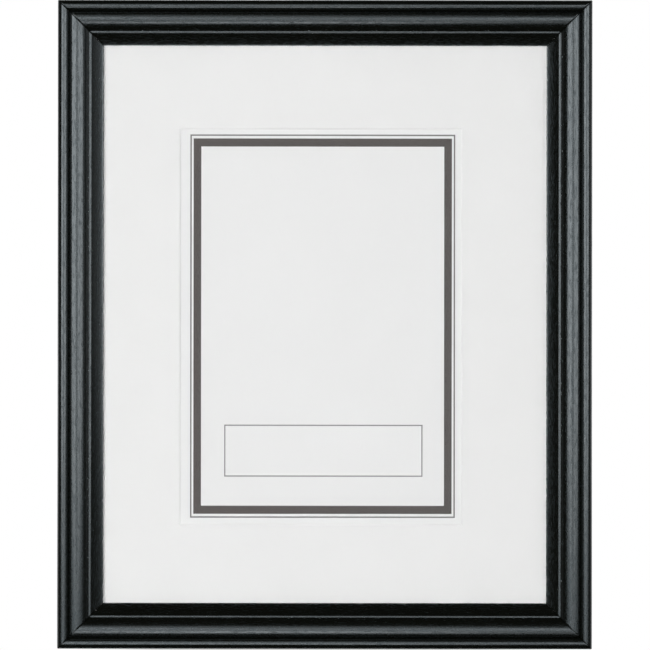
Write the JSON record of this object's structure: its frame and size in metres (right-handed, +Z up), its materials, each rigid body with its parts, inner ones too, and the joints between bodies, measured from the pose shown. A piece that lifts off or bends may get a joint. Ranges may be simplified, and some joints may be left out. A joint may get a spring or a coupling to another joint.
{
  "type": "picture frame",
  "caption": "Upright wooden picture frame with a stepped moulding, glazed window mat and print, turn-button back, folding easel leg and saw-tooth wall hangers.",
  "frame": {"origin": "middle of the footprint of the standing frame, on the desk", "axes": "+Z up, -Y the way the face looks, +X to the right as seen from the front"},
  "size_m": [0.2372, 0.0898, 0.2823],
  "materials": {
    "black_lacquer": "satin black lacquer over fine straight grain",
    "clear_glass": "polished",
    "white_mat": "matt white",
    "print_paper": "white paper with a ruled grey border",
    "grey_card": "raw grey card",
    "black_board": "hardboard faced with black paper",
    "zinc_steel": "bright zinc",
    "brass_plate": "brass plate",
    "dark_steel": "dull steel",
    "black_rubber": "matt rubber"
  },
  "bodies": {
    "frame": {"rail_top": "black_lacquer", "rail_bottom": "black_lacquer", "rail_left": "black_lacquer", "rail_right": "black_lacquer", "glass_pane": "clear_glass", "mat_board": "white_mat", "display_print": "print_paper", "filler_card": "grey_card", "backing_board": "black_board", "easel_bracket": "zinc_steel", "easel_hinge_pin": "zinc_steel", "bracket_rivet_left": "zinc_steel", "bracket_rivet_right": "zinc_steel", "button_screw_left_upper": "zinc_steel", "button_screw_left_lower": "zinc_steel", "button_screw_right_upper": "zinc_steel", "button_screw_right_lower": "zinc_steel", "hanger_top": "brass_plate", "hanger_side": "brass_plate", "hanger_nail_top_1": "brass_plate", "hanger_nail_top_2": "brass_plate", "hanger_nail_side_1": "brass_plate", "hanger_nail_side_2": "brass_plate", "corner_nail_top_left_outer": "dark_steel", "corner_nail_top_left_inner": "dark_steel", "corner_nail_top_right_outer": "dark_steel", "corner_nail_top_right_inner": "dark_steel", "corner_nail_bottom_left_outer": "dark_steel", "corner_nail_bottom_left_inner": "dark_steel", "corner_nail_bottom_right_outer": "dark_steel", "corner_nail_bottom_right_inner": "dark_steel", "wall_bumper_left": "black_rubber", "wall_bumper_right": "black_rubber"},
    "easel_leg": {"easel_strut": "black_board", "easel_leaf": "zinc_steel", "leaf_rivet_upper": "zinc_steel", "leaf_rivet_lower": "zinc_steel"},
    "button_left_upper": {"turn_button_left_upper": "zinc_steel"},
    "button_left_lower": {"turn_button_left_lower": "zinc_steel"},
    "button_right_upper": {"turn_button_right_upper": "zinc_steel"},
    "button_right_lower": {"turn_button_right_lower": "zinc_steel"}
  },
  "joints": [
    {"name": "easel_hinge", "type": "hinge", "parent": "frame", "child": "easel_leg", "pos_m": [0, 0.01159, 0.15926], "axis": [1, 0, 0], "range_deg": [-26, 0]},
    {"name": "turn_left_upper", "type": "hinge", "parent": "frame", "child": "button_left_upper", "pos_m": [-0.1078, 0.0201, 0.20764], "axis": [0, 0.9703, -0.2419], "continuous": true},
    {"name": "turn_left_lower", "type": "hinge", "parent": "frame", "child": "button_left_lower", "pos_m": [-0.1078, -0.01377, 0.0718], "axis": [0, 0.9703, -0.2419], "continuous": true},
    {"name": "turn_right_upper", "type": "hinge", "parent": "frame", "child": "button_right_upper", "pos_m": [0.1078, 0.0201, 0.20764], "axis": [0, 0.9703, -0.2419], "continuous": true},
    {"name": "turn_right_lower", "type": "hinge", "parent": "frame", "child": "button_right_lower", "pos_m": [0.1078, -0.01377, 0.0718], "axis": [0, 0.9703, -0.2419], "continuous": true}
  ]
}
